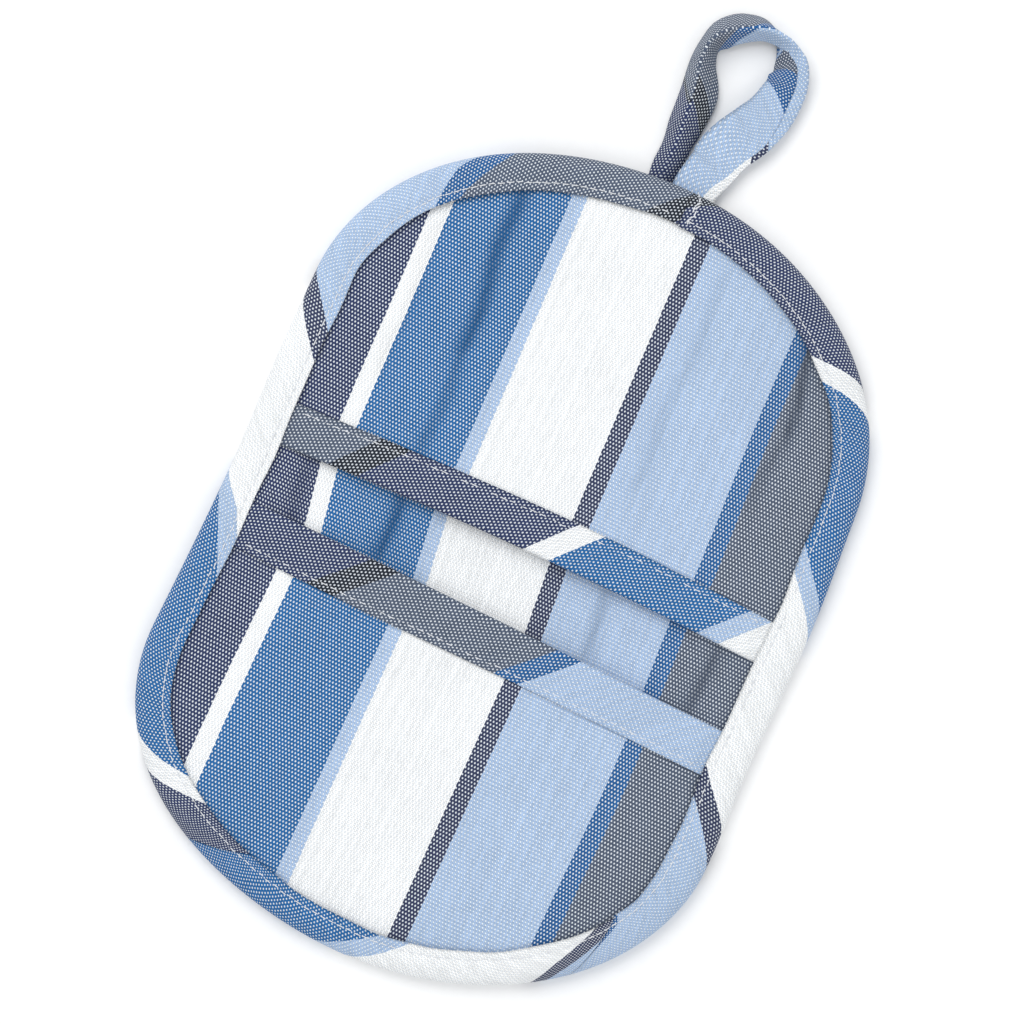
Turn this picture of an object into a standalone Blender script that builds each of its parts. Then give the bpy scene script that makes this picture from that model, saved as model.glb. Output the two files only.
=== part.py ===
"""Pinch-grip oven mitt: a padded oval with a hand pocket at each end, bound edges and a hanging loop.

The mitt lies on its back with its pockets up. +Y runs towards the loop, +X across it and +Z up, in metres.
The origin is on the back face, in the middle of the line that the mitt folds along.
A place round the edge is a (centre_y, angle) pair: a point of an oval end, or of a straight side where the
angle is 0 or 180 degrees and centre_y is the height along that side.
"""

import math

import bmesh
import bpy
from mathutils import Vector

# The oval
PAD_WIDTH = 0.175
PAD_LENGTH = 0.245
END_DEPTH = 0.0656
PAD_CENTRE_Y = 0.004

# The fold across the middle, and the pocket mouths beside it
FOLD_HALF = 0.010
MOUTH_Y = 0.0113
MOUTH_RISE = 0.006

# Cloths, wadding, tapes and thread
CLOTH = 0.0004
WADDING = 0.005
WADDING_AT_BINDING = 0.0021
WADDING_AT_EDGE = 0.0008
TAPE = 0.0008
BINDING_WIDTH = 0.011
UPPER_BAND_WIDTH = 0.0125
LOWER_BAND_WIDTH = 0.0135
THREAD = 0.0005
STITCH_INSET = 0.0018
GAP = 0.0003

# Joins between the three strips of edge binding, in degrees round the oval
LOOP_JOIN = 88.0
LEFT_JOIN = 239.0
RIGHT_JOIN = 326.0

# The hanging loop
LOOP_WIDTH = 0.0135
LOOP_TAPE = 0.0012
LOOP_TUCK = 0.009
LOOP_BEND = 0.0015
TACK_X = 0.0058
TACK_WIDTH = 0.0012

# Each point of the loop: across, beyond the oval's end, lean of the tape's width in degrees, and how far it has
# climbed over the other leg (0 on the bed, 1 on top of that leg)
LOOP_ROUTE = [
    (-0.0049, 0.0032, 180, 0.0),
    (-0.0053, 0.0100, 180, 0.0),
    (-0.0063, 0.0200, 174, 0.0),
    (-0.0076, 0.0285, 155, 0.0),
    (-0.0094, 0.0370, 120, 0.0),
    (-0.0082, 0.0445, 90, 0.0),
    (-0.0035, 0.0500, 68, 0.0),
    (0.0025, 0.0512, 66, 0.0),
    (0.0090, 0.0490, 85, 0.0),
    (0.0138, 0.0430, 118, 0.1),
    (0.0153, 0.0350, 148, 0.4),
    (0.0120, 0.0285, 164, 0.8),
    (0.0086, 0.0220, 176, 1.0),
    (0.0062, 0.0150, 180, 1.0),
    (0.0045, 0.0090, 180, 1.0),
    (0.0036, 0.0032, 180, 1.0),
]

# How finely shapes are cut up
SIDE_STEPS = 3
END_STEPS = 9
ROUTE_STEPS = 3
MERGE = 0.000001

HALF_WIDTH = PAD_WIDTH / 2
TOP_Y = PAD_CENTRE_Y + PAD_LENGTH / 2
BOTTOM_Y = PAD_CENTRE_Y - PAD_LENGTH / 2
TOP_CENTRE_Y = TOP_Y - END_DEPTH
BOTTOM_CENTRE_Y = BOTTOM_Y + END_DEPTH

# Insets of the rings that a layer is built on: its cut edge, the binding's inner edge, the slope, the flat middle
EDGE_INSET = TAPE + 2 * GAP
BOUND_INSET = BINDING_WIDTH + GAP
SLOPE_INSET = BOUND_INSET + 0.007
FLAT_INSET = BOUND_INSET + 0.017
RINGS = (EDGE_INSET, BOUND_INSET, SLOPE_INSET, FLAT_INSET)
INNER_SHARES = (0.5, 0.0, -0.5)

WADDING_AT_SLOPE = (WADDING + WADDING_AT_BINDING) / 2
WADDING_AT_RINGS = (WADDING_AT_EDGE, WADDING_AT_BINDING, WADDING_AT_SLOPE, WADDING)
UNDERLIFT_AT_RINGS = (TAPE + GAP, TAPE + GAP, (TAPE + GAP) / 2, 0.0)
POCKET_SLACK_AT_RINGS = (0.0, TAPE + GAP, TAPE + GAP, TAPE + GAP)

# The loop's two ends lie under the binding, one on the other, and prop up the oval's end
LOOP_BED = 0.0001
LOOP_STEP = LOOP_TAPE + GAP
PROP = LOOP_BED + 2 * LOOP_STEP
PROP_END_Y = TOP_Y - LOOP_TUCK - 0.002
PROP_START_Y = PROP_END_Y - 0.046
LOOP_AXIS = Vector((0.0, TOP_Y + GAP + LOOP_STEP, LOOP_BED + LOOP_STEP))


def material(name, colour, roughness):
    """A plain matt finish."""
    made = bpy.data.materials.new(name)
    made.use_nodes = True
    shader = made.node_tree.nodes["Principled BSDF"]
    shader.inputs["Base Color"].default_value = (*colour, 1.0)
    shader.inputs["Roughness"].default_value = roughness
    shader.inputs["Metallic"].default_value = 0.0
    return made


def empty(name, location):
    """A bare axis that the pieces of one body hang from."""
    made = bpy.data.objects.new(name, None)
    made.location = location
    bpy.context.collection.objects.link(made)
    return made


def smooth(share):
    """Smoothstep of a share held between 0 and 1."""
    share = min(1.0, max(0.0, share))
    return share * share * (3 - 2 * share)


def prop(y):
    """How far the oval's end is held up by the loop's ends beneath it."""
    return PROP * smooth((y - PROP_START_Y) / (PROP_END_Y - PROP_START_Y))


def puff(x, y):
    """How far a pocket stands open: most in the middle of its mouth, nothing along its bound edge."""
    far, centre_y = (TOP_Y, TOP_CENTRE_Y) if y > 0 else (BOTTOM_Y, BOTTOM_CENTRE_Y)
    depth = (abs(y) - MOUTH_Y) / (abs(far) - MOUTH_Y)
    beyond = max(0.0, abs(y) - abs(centre_y))
    outwards = math.hypot(x / (HALF_WIDTH - BOUND_INSET), beyond / (END_DEPTH - BOUND_INSET))
    return MOUTH_RISE * math.cos(min(1.0, outwards) * math.pi / 2) * (1 - max(0.0, depth) ** 2)


def on_edge(place, inset):
    """The point at an inset from the oval's outline."""
    centre_y, angle = place
    turn = math.radians(angle)
    x = (HALF_WIDTH - inset) * math.cos(turn)
    y = centre_y + (END_DEPTH - inset) * math.sin(turn)
    return x, y


def between(first, last, steps):
    """Evenly spaced values, both ends included."""
    return [first + (last - first) * step / steps for step in range(steps + 1)]


def ring_value(values, ring):
    """A value kept for each ring; all that lies inside the last ring is as the last."""
    return values[min(ring, len(values) - 1)]


def back_base(ring, y):
    """Underside of the back cloth."""
    return ring_value(UNDERLIFT_AT_RINGS, ring) + prop(y)


def wadding_base(ring, y):
    """Underside of the wadding."""
    return back_base(ring, y) + CLOTH + GAP


def front_base(ring, y):
    """Underside of the front cloth."""
    return wadding_base(ring, y) + ring_value(WADDING_AT_RINGS, ring) + GAP


def lining_base(ring, x, y):
    """Underside of a pocket's lining."""
    slack = ring_value(POCKET_SLACK_AT_RINGS, ring)
    opened = puff(x, y) if ring else 0.0
    return front_base(ring, y) + CLOTH + GAP + slack + opened


def pocket_base(ring, x, y):
    """Underside of a pocket's outer cloth."""
    return lining_base(ring, x, y) + CLOTH + GAP


def pocket_top(ring, x, y):
    """Upper side of a pocket's outer cloth."""
    return pocket_base(ring, x, y) + CLOTH


def loft(name, rings, finish, parent, open_end=False, smooth_angle=40.0):
    """A closed body through a row of equal rings of points, each end filled unless it closes on itself."""
    bm = bmesh.new()
    rows = [[bm.verts.new(Vector(point) - parent.location) for point in ring] for ring in rings]
    count = len(rings[0])
    for row, following in zip(rows, rows[1:]):
        for index in range(count):
            after = (index + 1) % count
            bm.faces.new((row[index], row[after], following[after], following[index]))
    bm.faces.new(list(reversed(rows[0])))
    if not open_end:
        bm.faces.new(rows[-1])
    bmesh.ops.remove_doubles(bm, verts=bm.verts[:], dist=MERGE)
    bmesh.ops.recalc_face_normals(bm, faces=bm.faces[:])
    mesh = bpy.data.meshes.new(name)
    bm.to_mesh(mesh)
    bm.free()
    mesh.materials.append(finish)
    mesh.shade_smooth()
    mesh.set_sharp_from_angle(angle=math.radians(smooth_angle))
    made = bpy.data.objects.new(name, mesh)
    made.parent = parent
    bpy.context.collection.objects.link(made)
    return made


def across_row(side, place, base, thickness):
    """One cross-section of a layer, from the right side to the left: its underside, then its upper side."""
    centre_y, angle = place
    points = []
    for ring, inset in enumerate(RINGS):
        points.append((ring, *on_edge((centre_y, side * angle), inset)))
    _, flat_x, flat_y = points[-1]
    for share in INNER_SHARES:
        points.append((len(RINGS), flat_x * share, flat_y))
    for ring, inset in reversed(list(enumerate(RINGS))):
        points.append((ring, *on_edge((centre_y, 180 - side * angle), inset)))
    low = [(x, y, base(ring, x, y)) for ring, x, y in points]
    high = [(x, y, base(ring, x, y) + thickness(ring)) for ring, x, y in points]
    return low + high[::-1]


def layer(name, side, start, base, thickness, finish, parent, first_rows=()):
    """A layer of one half, from a straight cut at start out to the oval's end; side is 1 above the fold."""
    centre_y = TOP_CENTRE_Y if side > 0 else BOTTOM_CENTRE_Y
    cuts = [start, *first_rows, *between(first_rows[-1] if first_rows else start, centre_y, SIDE_STEPS)[1:]]
    places = [(y, 0.0) for y in cuts]
    places += [(centre_y, angle) for angle in between(0.0, 90.0, END_STEPS)[1:]]
    rings = [across_row(side, place, base, thickness) for place in places]
    return loft(name, rings, finish, parent, open_end=True)


def fold_layer(name, base, thickness, finish, parent):
    """The strip of a layer that bends when the mitt folds."""
    half = FOLD_HALF - GAP / 2
    rings = [across_row(1, (y, 0.0), base, thickness) for y in between(-half, half, 2)]
    return loft(name, rings, finish, parent)


def padding(upper, lower, finishes):
    """Back cloth, wadding and front cloth, each as its upper half, fold strip and lower half."""
    stack = [
        ("back_cloth", lambda ring, x, y: back_base(ring, y), lambda ring: CLOTH),
        ("wadding", lambda ring, x, y: wadding_base(ring, y), lambda ring: ring_value(WADDING_AT_RINGS, ring)),
        ("front_cloth", lambda ring, x, y: front_base(ring, y), lambda ring: CLOTH),
    ]
    start = FOLD_HALF + GAP / 2
    for name, base, thickness in stack:
        layer(name + "_upper", 1, start, base, thickness, finishes[name], upper)
        fold_layer(name + "_fold", base, thickness, finishes[name], upper)
        layer(name + "_lower", -1, -start, base, thickness, finishes[name], lower)


def band_ring(x, ring, side, width):
    """The folded tape round a pocket's mouth at one place across it: outside from below to above, then inside."""
    mouth, inner, far = (side * y for y in (MOUTH_Y, MOUTH_Y + TAPE, MOUTH_Y + width))
    levels = {y: (lining_base(ring, x, y) - GAP, pocket_top(ring, x, y) + GAP) for y in (mouth, inner, far)}
    outside = [
        (x, far, levels[far][0] - TAPE),
        (x, inner, levels[inner][0] - TAPE),
        (x, mouth, levels[mouth][0]),
        (x, mouth, levels[mouth][1]),
        (x, inner, levels[inner][1] + TAPE),
        (x, far, levels[far][1] + TAPE),
    ]
    inside = [(x, y, levels[y][level]) for y, level in ((far, 1), (inner, 1), (inner, 0), (far, 0))]
    return outside + inside


def mouth_columns():
    """Places across a pocket's mouth, from the edge binding on the right to that on the left."""
    right = [(HALF_WIDTH - inset, ring) for ring, inset in enumerate(RINGS) if ring]
    inner = [((HALF_WIDTH - FLAT_INSET) * share, len(RINGS)) for share in INNER_SHARES]
    left = [(-x, ring) for x, ring in reversed(right)]
    return right + inner + left


def thread_ring(centre, sideways, upwards):
    """Six points round a thread."""
    turns = [math.tau * corner / 6 for corner in range(6)]
    radius = THREAD / 2
    return [
        Vector(centre) + radius * (math.cos(turn) * Vector(sideways) + math.sin(turn) * Vector(upwards))
        for turn in turns
    ]


def pocket(name, side, width, parent, finishes):
    """A pocket: lining and outer cloth, the band that binds its mouth, and the band's stitching."""
    start = side * (MOUTH_Y + TAPE + GAP)
    band_end = (side * (MOUTH_Y + width),)
    cloth = (lambda ring: CLOTH)
    layer(name + "_lining", side, start, lining_base, cloth, finishes["lining"], parent, band_end)
    layer(name + "_cloth", side, start, pocket_base, cloth, finishes["pocket_cloth"], parent, band_end)
    rings = [band_ring(x, ring, side, width) for x, ring in mouth_columns()]
    loft(name + "_band", rings, finishes["band"], parent)
    line = side * (MOUTH_Y + width - STITCH_INSET)
    rise = TAPE + 2 * GAP + THREAD / 2
    columns = mouth_columns()
    rings = [thread_ring((x, line, pocket_top(ring, x, line) + rise), (0, 1, 0), (0, 0, 1)) for x, ring in columns]
    loft(name + "_stitching", rings, finishes["thread"], parent)


def stack_top(inset):
    """Upper side of the whole stack where it is bound, on a line from its cut edge to the binding's inner edge."""
    at_edge = pocket_top(0, HALF_WIDTH, TOP_CENTRE_Y) - prop(TOP_CENTRE_Y)
    at_binding = pocket_top(1, HALF_WIDTH, TOP_CENTRE_Y) - prop(TOP_CENTRE_Y)
    share = (inset - EDGE_INSET) / (BOUND_INSET - EDGE_INSET)
    return at_edge + (at_binding - at_edge) * share


def binding_ring(place):
    """The edge binding's folded section: round the outside from its lower to its upper leg, then back inside."""
    corner = 2 * TAPE
    top = stack_top(EDGE_INSET) + GAP + TAPE
    inner_top = stack_top(BINDING_WIDTH) + GAP
    section = [
        (BINDING_WIDTH, 0.0),
        (corner, 0.0),
        (corner * 0.3, corner * 0.3),
        (0.0, corner),
        (0.0, top - corner),
        (corner * 0.3, top - corner * 0.3),
        (corner, stack_top(corner) + GAP + TAPE),
        (BINDING_WIDTH, inner_top + TAPE),
        (BINDING_WIDTH, inner_top),
        (TAPE, stack_top(TAPE) + GAP),
        (TAPE, TAPE),
        (BINDING_WIDTH, TAPE),
    ]
    points = []
    for inset, z in section:
        x, y = on_edge(place, inset)
        points.append((x, y, z + prop(y)))
    return points


def edge_thread_ring(place):
    """The thread along the edge binding's inner edge."""
    inset = BINDING_WIDTH - STITCH_INSET
    x, y = on_edge(place, inset)
    further_x, further_y = on_edge(place, inset + THREAD)
    outwards = Vector((x - further_x, y - further_y, 0.0)).normalized()
    z = stack_top(inset) + TAPE + 2 * GAP + THREAD / 2 + prop(y)
    return thread_ring((x, y, z), outwards, (0, 0, 1))


def gap_angle():
    """The turn that leaves half a gap beside a join on an oval end."""
    return math.degrees(GAP / END_DEPTH)


def right_side(first_y, last_y):
    """Places along the right side."""
    return [(y, 0.0) for y in between(first_y, last_y, SIDE_STEPS)]


def left_side(first_y, last_y):
    """Places along the left side."""
    return [(y, 180.0) for y in between(first_y, last_y, SIDE_STEPS)]


def rounded_end(centre_y, first, last):
    """Places round part of an end, both ends included."""
    steps = max(2, round(abs(last - first) * END_STEPS / 90))
    return [(centre_y, angle) for angle in between(first, last, steps)]


def edge_runs():
    """Every stretch of the bound edge: its name, its body's side and its places, anticlockwise from the right."""
    start = FOLD_HALF + GAP / 2
    bend = FOLD_HALF - GAP / 2
    slit = gap_angle()
    top, bottom = TOP_CENTRE_Y, BOTTOM_CENTRE_Y
    return {
        "right_upper": (1, right_side(start, top)[:-1] + rounded_end(top, 0.0, LOOP_JOIN - slit)),
        "left_upper": (1, rounded_end(top, LOOP_JOIN + slit, 180.0) + left_side(top, start)[1:]),
        "left_fold": (1, left_side(bend, -bend)),
        "left_lower": (-1, left_side(-start, bottom)[:-1] + rounded_end(bottom, 180.0, LEFT_JOIN - slit)),
        "bottom": (-1, rounded_end(bottom, LEFT_JOIN + slit, RIGHT_JOIN - slit)),
        "right_lower": (-1, rounded_end(bottom, RIGHT_JOIN + slit, 360.0) + right_side(bottom, -start)[1:]),
        "right_fold": (1, right_side(-bend, bend)),
    }


def edge_binding(upper, lower, finishes):
    """The strips of binding round the edge."""
    for name, (side, places) in edge_runs().items():
        rings = [binding_ring(place) for place in places]
        loft("binding_" + name, rings, finishes["binding"], upper if side > 0 else lower)


def edge_stitching(upper, lower, finishes):
    """The thread that holds the edge binding, in the same upper, fold and lower stretches as the cloths."""
    runs = edge_runs()
    joined = {
        "upper": (upper, runs["right_upper"][1] + runs["left_upper"][1]),
        "left_fold": (upper, runs["left_fold"][1]),
        "lower": (lower, runs["left_lower"][1] + runs["bottom"][1] + runs["right_lower"][1]),
        "right_fold": (upper, runs["right_fold"][1]),
    }
    for name, (parent, places) in joined.items():
        rings = [edge_thread_ring(place) for place in places]
        loft("edge_stitching_" + name, rings, finishes["thread"], parent)


def eased(before, first, last, after, share):
    """Catmull-Rom blend of four values at a share from first to last."""
    return 0.5 * (
        2 * first
        + (last - before) * share
        + (2 * before - 5 * first + 4 * last - after) * share**2
        + (3 * first - before - 3 * last + after) * share**3
    )


def loop_places():
    """The loop's route read off a smooth curve: (x, y, lean, climb) at each place."""
    places = []
    last = len(LOOP_ROUTE) - 1
    for index in range(last):
        around = [LOOP_ROUTE[min(last, max(0, index + offset))] for offset in (-1, 0, 1, 2)]
        for step in range(ROUTE_STEPS):
            share = step / ROUTE_STEPS
            x, beyond, lean, climb = (eased(*values, share) for values in zip(*around))
            places.append((x, TOP_Y + beyond, lean, climb))
    x, beyond, lean, climb = LOOP_ROUTE[-1]
    places.append((x, TOP_Y + beyond, lean, climb))
    return places


def tape_ring(x, y, lean, climb, heading):
    """The loop tape's section at one place, across its heading and leaning over from lying flat."""
    turn = math.radians(lean)
    sideways = heading.cross(Vector((0.0, 0.0, 1.0)))
    wide = sideways * math.cos(turn) + Vector((0.0, 0.0, math.sin(turn)))
    thick = wide.cross(heading)
    height = LOOP_WIDTH * abs(wide.z) + LOOP_TAPE * abs(thick.z)
    centre = Vector((x, y, LOOP_BED + LOOP_STEP * climb + height / 2))
    half_wide = wide * LOOP_WIDTH / 2
    half_thick = thick * LOOP_TAPE / 2
    shares = ((-1, -0.4), (-0.97, -1), (0.97, -1), (1, -0.4), (1, 0.4), (0.97, 1), (-0.97, 1), (-1, 0.4))
    return [centre + half_wide * across + half_thick * through for across, through in shares]


def hanging_loop(parent, finish):
    """The loop itself, from one leg's bend round to the other's."""
    places = loop_places()
    headings = [
        Vector((after[0] - before[0], after[1] - before[1], 0.0)).normalized()
        for before, after in zip(places, places[2:])
    ]
    headings = [Vector((0.0, 1.0, 0.0)), *headings, Vector((0.0, -1.0, 0.0))]
    rings = [tape_ring(*place, heading) for place, heading in zip(places, headings)]
    loft("hanging_loop", rings, finish, parent)


def loop_end(name, place, parent, finish):
    """One end of the loop's tape: it bends at the oval's edge and is sewn down under the binding."""
    x, beyond, lean, climb = place
    heading = Vector((0.0, 1.0, 0.0))
    rings = [
        tape_ring(x, y, lean, climb, heading)
        for y in (TOP_Y - LOOP_TUCK, TOP_Y, TOP_Y + beyond - LOOP_BEND, TOP_Y + beyond - GAP)
    ]
    loft(name, rings, finish, parent)


def loop_tack(parent, finish):
    """The bar of thread that tacks the loop through the edge binding, up to the stitching along it."""
    rings = []
    for inset in between(2 * TAPE, BINDING_WIDTH - STITCH_INSET - THREAD / 2 - GAP, 3):
        y = TOP_Y - inset
        low = stack_top(inset) + TAPE + 2 * GAP + prop(y)
        left, right = TACK_X - TACK_WIDTH / 2, TACK_X + TACK_WIDTH / 2
        rings.append([(left, y, low), (right, y, low), (right, y, low + THREAD), (left, y, low + THREAD)])
    loft("loop_tack", rings, finish, parent)


def finishes():
    """Every plain finish by the name of what wears it."""
    return {
        "back_cloth": material("back cloth", (0.10, 0.26, 0.52), 0.92),
        "wadding": material("wadding", (0.86, 0.85, 0.81), 0.97),
        "front_cloth": material("front cloth", (0.36, 0.52, 0.80), 0.92),
        "lining": material("pocket lining", (0.82, 0.84, 0.87), 0.93),
        "pocket_cloth": material("pocket cloth", (0.12, 0.30, 0.60), 0.92),
        "band": material("pocket band", (0.06, 0.07, 0.20), 0.90),
        "binding": material("edge binding", (0.07, 0.09, 0.24), 0.90),
        "loop": material("loop tape", (0.30, 0.44, 0.72), 0.90),
        "thread": material("thread", (0.92, 0.92, 0.90), 0.70),
    }


def main():
    """Clears the scene and builds the mitt."""
    for old in list(bpy.data.objects):
        bpy.data.objects.remove(old, do_unlink=True)
    worn = finishes()
    upper = empty("upper_half", (0.0, 0.0, 0.0))
    lower = empty("fold_axis", (0.0, 0.0, 0.0))
    loop = empty("loop_axis", LOOP_AXIS)
    padding(upper, lower, worn)
    pocket("upper_pocket", 1, UPPER_BAND_WIDTH, upper, worn)
    pocket("lower_pocket", -1, LOWER_BAND_WIDTH, lower, worn)
    edge_binding(upper, lower, worn)
    edge_stitching(upper, lower, worn)
    hanging_loop(loop, worn["loop"])
    loop_end("loop_end_left", LOOP_ROUTE[0], upper, worn["loop"])
    loop_end("loop_end_right", LOOP_ROUTE[-1], upper, worn["loop"])
    loop_tack(upper, worn["thread"])


main()
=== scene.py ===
import math

import bpy
import numpy as np
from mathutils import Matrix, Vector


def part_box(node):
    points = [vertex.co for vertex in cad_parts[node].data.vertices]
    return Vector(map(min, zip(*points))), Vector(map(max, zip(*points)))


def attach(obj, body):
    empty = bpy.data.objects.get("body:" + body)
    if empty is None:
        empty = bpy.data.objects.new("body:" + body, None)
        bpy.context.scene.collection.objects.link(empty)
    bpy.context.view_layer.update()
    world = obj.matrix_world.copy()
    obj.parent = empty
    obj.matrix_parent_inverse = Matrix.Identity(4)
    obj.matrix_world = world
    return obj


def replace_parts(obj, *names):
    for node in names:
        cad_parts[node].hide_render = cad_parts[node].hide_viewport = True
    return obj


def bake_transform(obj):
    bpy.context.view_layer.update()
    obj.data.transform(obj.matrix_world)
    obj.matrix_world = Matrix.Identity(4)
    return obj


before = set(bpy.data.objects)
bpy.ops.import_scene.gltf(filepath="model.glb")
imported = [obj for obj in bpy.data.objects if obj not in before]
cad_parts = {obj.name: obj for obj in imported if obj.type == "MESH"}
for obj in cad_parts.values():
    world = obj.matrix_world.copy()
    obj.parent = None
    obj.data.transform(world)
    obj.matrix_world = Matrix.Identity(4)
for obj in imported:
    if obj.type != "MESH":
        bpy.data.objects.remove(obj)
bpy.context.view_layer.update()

mm = 0.001
rng = np.random.default_rng(41)

# The oval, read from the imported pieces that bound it
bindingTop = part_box("binding_left_upper")[1].y
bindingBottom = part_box("binding_bottom")[0].y
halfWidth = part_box("binding_right_upper")[1].x
endDepth = 65.6 * mm       # how far each rounded end stands out from its centre
topCentre = bindingTop - endDepth
bottomCentre = bindingBottom + endDepth

thickness = {
    "padEdge": 3.1 * mm, "padMiddle": 6.4 * mm,      # front of the pad over the floor
    "underEdge": 1.1 * mm,                           # back of the pad, lifted by the binding under it
    "pocketEdge": 4.4 * mm, "pocketMiddle": 8.2 * mm,
    "rise": 28.3 * mm,                               # how far in from the edge the pad is full
    "cloth": 0.45 * mm, "tape": 0.8 * mm,
    "mouthOpen": 2.8 * mm,
    "prop": 3.1 * mm,                                # how far the loop's tape ends hold the top end up
    "rim": 2.9 * mm, "bindingInner": 8.3 * mm,       # the binding's rim and its inner edge over the floor
}
covered = 11.3 * mm     # how far in from the edge the binding lies over the pad
crownWidth = 8.5 * mm   # how far in the binding's upper face levels off
mouths = {
    # place of the mouth's edge: at the middle, bow over the half width, slope over the half width
    "upper": {"middle": 12.0 * mm, "bow": -2.6 * mm, "slope": -0.3 * mm, "band": 12.4 * mm},
    "lower": {"middle": -11.3 * mm, "bow": -0.4 * mm, "slope": -2.5 * mm, "band": 13.6 * mm},
}


def smooth(low, high, value):
    # smoothstep: 3t^2 - 2t^3 of the value's share of the way from low to high
    t = np.clip((value - low) / (high - low), 0, 1)
    return t * t * (3 - 2 * t)


def endOf(y):
    # how far y lies beyond the centre of the nearer rounded end, 0 between the two centres
    return np.maximum(0, np.maximum(y - topCentre, bottomCentre - y))


def insetOf(x, y):
    # distance in from the outline: the d that solves (x/(w-d))^2 + (e/(h-d))^2 = 1, by halving
    low, high = np.zeros(np.shape(x)), np.full(np.shape(x), endDepth - 1 * mm)
    e = endOf(y)
    for _ in range(32):
        middle = (low + high) / 2
        inside = (x / (halfWidth - middle)) ** 2 + (e / (endDepth - middle)) ** 2 < 1
        low, high = np.where(inside, middle, low), np.where(inside, high, middle)
    return low


def wander(seed, size, *place):
    # sum of four sines with random directions and starts, over three: about -1 to 1, wavelength near size
    own = np.random.default_rng(seed)
    total = 0.0
    for _ in range(4):
        way = own.normal(size=len(place))
        way /= np.linalg.norm(way)
        along = sum(w * p for w, p in zip(way, place))
        total = total + np.sin(along * 2 * math.pi / (size * own.uniform(0.6, 1.5)) + own.uniform(0, 6.28))
    return total / 3


def tabled(at, table):
    # straight lines through a table of places and values, both in mm
    return np.interp(at, np.array(table[0]) * mm, np.array(table[1]) * mm)


def bell(value, width):
    # exp(-(value/width)^2)
    return np.exp(-(value / width) ** 2)


def runningLength(points):
    # the distance covered along each row of points, from 0
    step = np.linalg.norm(np.diff(points, axis=-2), axis=-1)
    return np.concatenate([np.zeros(step.shape[:-1] + (1,)), np.cumsum(step, axis=-1)], axis=-1)


def openStrip(y, near, far):
    # 1 over the open strip between the pockets, smoothstep down to 0 beside it
    return 1 - smooth(near, far, np.abs(y + 1 * mm))


def prop(y):
    # the end over the loop's tape ends is held up: its full height times smoothstep towards the top
    return thickness["prop"] * smooth(69.5 * mm, 115.5 * mm, y)


def full(d):
    # 0 at the edge to 1 where the pad is full: 1 - (1 - d/rise)^2
    return 1 - (1 - np.clip(d / thickness["rise"], 0, 1)) ** 2


def padTop(x, y):
    # edge height plus the rise to the full pad, swelling a little in the open strip beside the binding
    share = full(insetOf(x, y))
    swell = 1.3 * mm * openStrip(y, 8 * mm, 16 * mm) * (1 - share) ** 0.6
    return thickness["padEdge"] + (thickness["padMiddle"] - thickness["padEdge"]) * share + prop(y) + swell


def padBottom(x, y):
    # flat on the floor in the middle, lifted by the binding's thickness near the edge
    return thickness["underEdge"] * (1 - smooth(covered, 24 * mm, insetOf(x, y))) + prop(y)


def mouthLine(side, x):
    # y of the mouth's edge: middle + bow * t^2 + slope * t, with t the share of the half width
    m = mouths[side]
    t = x / halfWidth
    return m["middle"] + m["bow"] * t ** 2 + m["slope"] * t


def pocketTop(side, x, y):
    # pad stack plus the opening: cosine across, falling with a power of the depth from the mouth
    far = bindingTop if side == "upper" else -bindingBottom
    depth = np.clip((np.abs(y) - covered) / (far - covered), 0, 1)
    across = np.hypot(x / (halfWidth - covered), endOf(y) / (endDepth - covered))
    opened = thickness["mouthOpen"] * np.cos(np.minimum(1, across) * math.pi / 2) * (1 - depth) ** 1.6
    rise = (thickness["pocketMiddle"] - thickness["pocketEdge"]) * full(insetOf(x, y))
    return thickness["pocketEdge"] + rise + prop(y) + opened


def bindingHeight(d, y):
    # upper face of the edge binding: from the rim it rises as a superellipse to its inner edge,
    # which is lower over the open strip between the pockets
    inner = thickness["bindingInner"] - 0.9 * mm * openStrip(y, 7 * mm, 13 * mm) + prop(y)
    rim = thickness["rim"] + prop(y) * 0.9
    t = np.clip(1 - d / crownWidth, 0, 1)
    return rim + (inner - rim) * (1 - t ** 2.3) ** (1 / 2.3)


def tucked(x, y, z, below):
    # what passes under the binding is pressed down to lie that far below its upper face
    d = insetOf(x, y)
    over = np.maximum(0, z - (bindingHeight(d, y) - below))
    return z - over * (1 - smooth(11.5 * mm, 17 * mm, d))


def handMade(points):
    # the sewn outline isn't a perfect oval: each point moves out or in by a few sines of its bearing,
    # in proportion to its distance from the middle, and the lower left corner is squarer
    x, y = points[..., 0], points[..., 1] - 4 * mm
    bearing = np.arctan2(y, x)
    reach = np.clip(np.hypot(x / halfWidth, y / (122.5 * mm)), 0, 1.0) ** 3
    out = 0.35 * np.sin(3 * bearing + 1.1) + 0.3 * np.sin(5 * bearing + 0.4) + 0.15 * np.sin(9 * bearing + 2)
    corner = bell(np.angle(np.exp(1j * (bearing + 2.33))), 0.33)
    out = (out + 1.6 * corner) * mm * reach
    # the right side leans: in towards the top, out below the middle
    lean = (-2.6 * smooth(15 * mm, 75 * mm, y) + 1.6 * bell(y + 50 * mm, 26 * mm)) * mm
    moved = points.copy()
    moved[..., 0] += out * np.cos(bearing) + lean * np.clip(x / halfWidth, 0, 1) ** 2
    moved[..., 1] += out * np.sin(bearing)
    return moved


def gridQuads(rows, columns):
    # corner numbers of each square of a rows x columns grid
    r, c = np.meshgrid(np.arange(rows - 1), np.arange(columns - 1), indexing="ij")
    first = (r * columns + c).ravel()
    return np.stack([first, first + 1, first + columns + 1, first + columns], axis=1)


def meshObject(name, points, faces):
    # a new mesh from points and faces, and its object in the scene
    mesh = bpy.data.meshes.new(name)
    mesh.from_pydata(points, [], faces)
    made = bpy.data.objects.new(name, mesh)
    bpy.context.scene.collection.objects.link(made)
    return made, mesh


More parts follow.
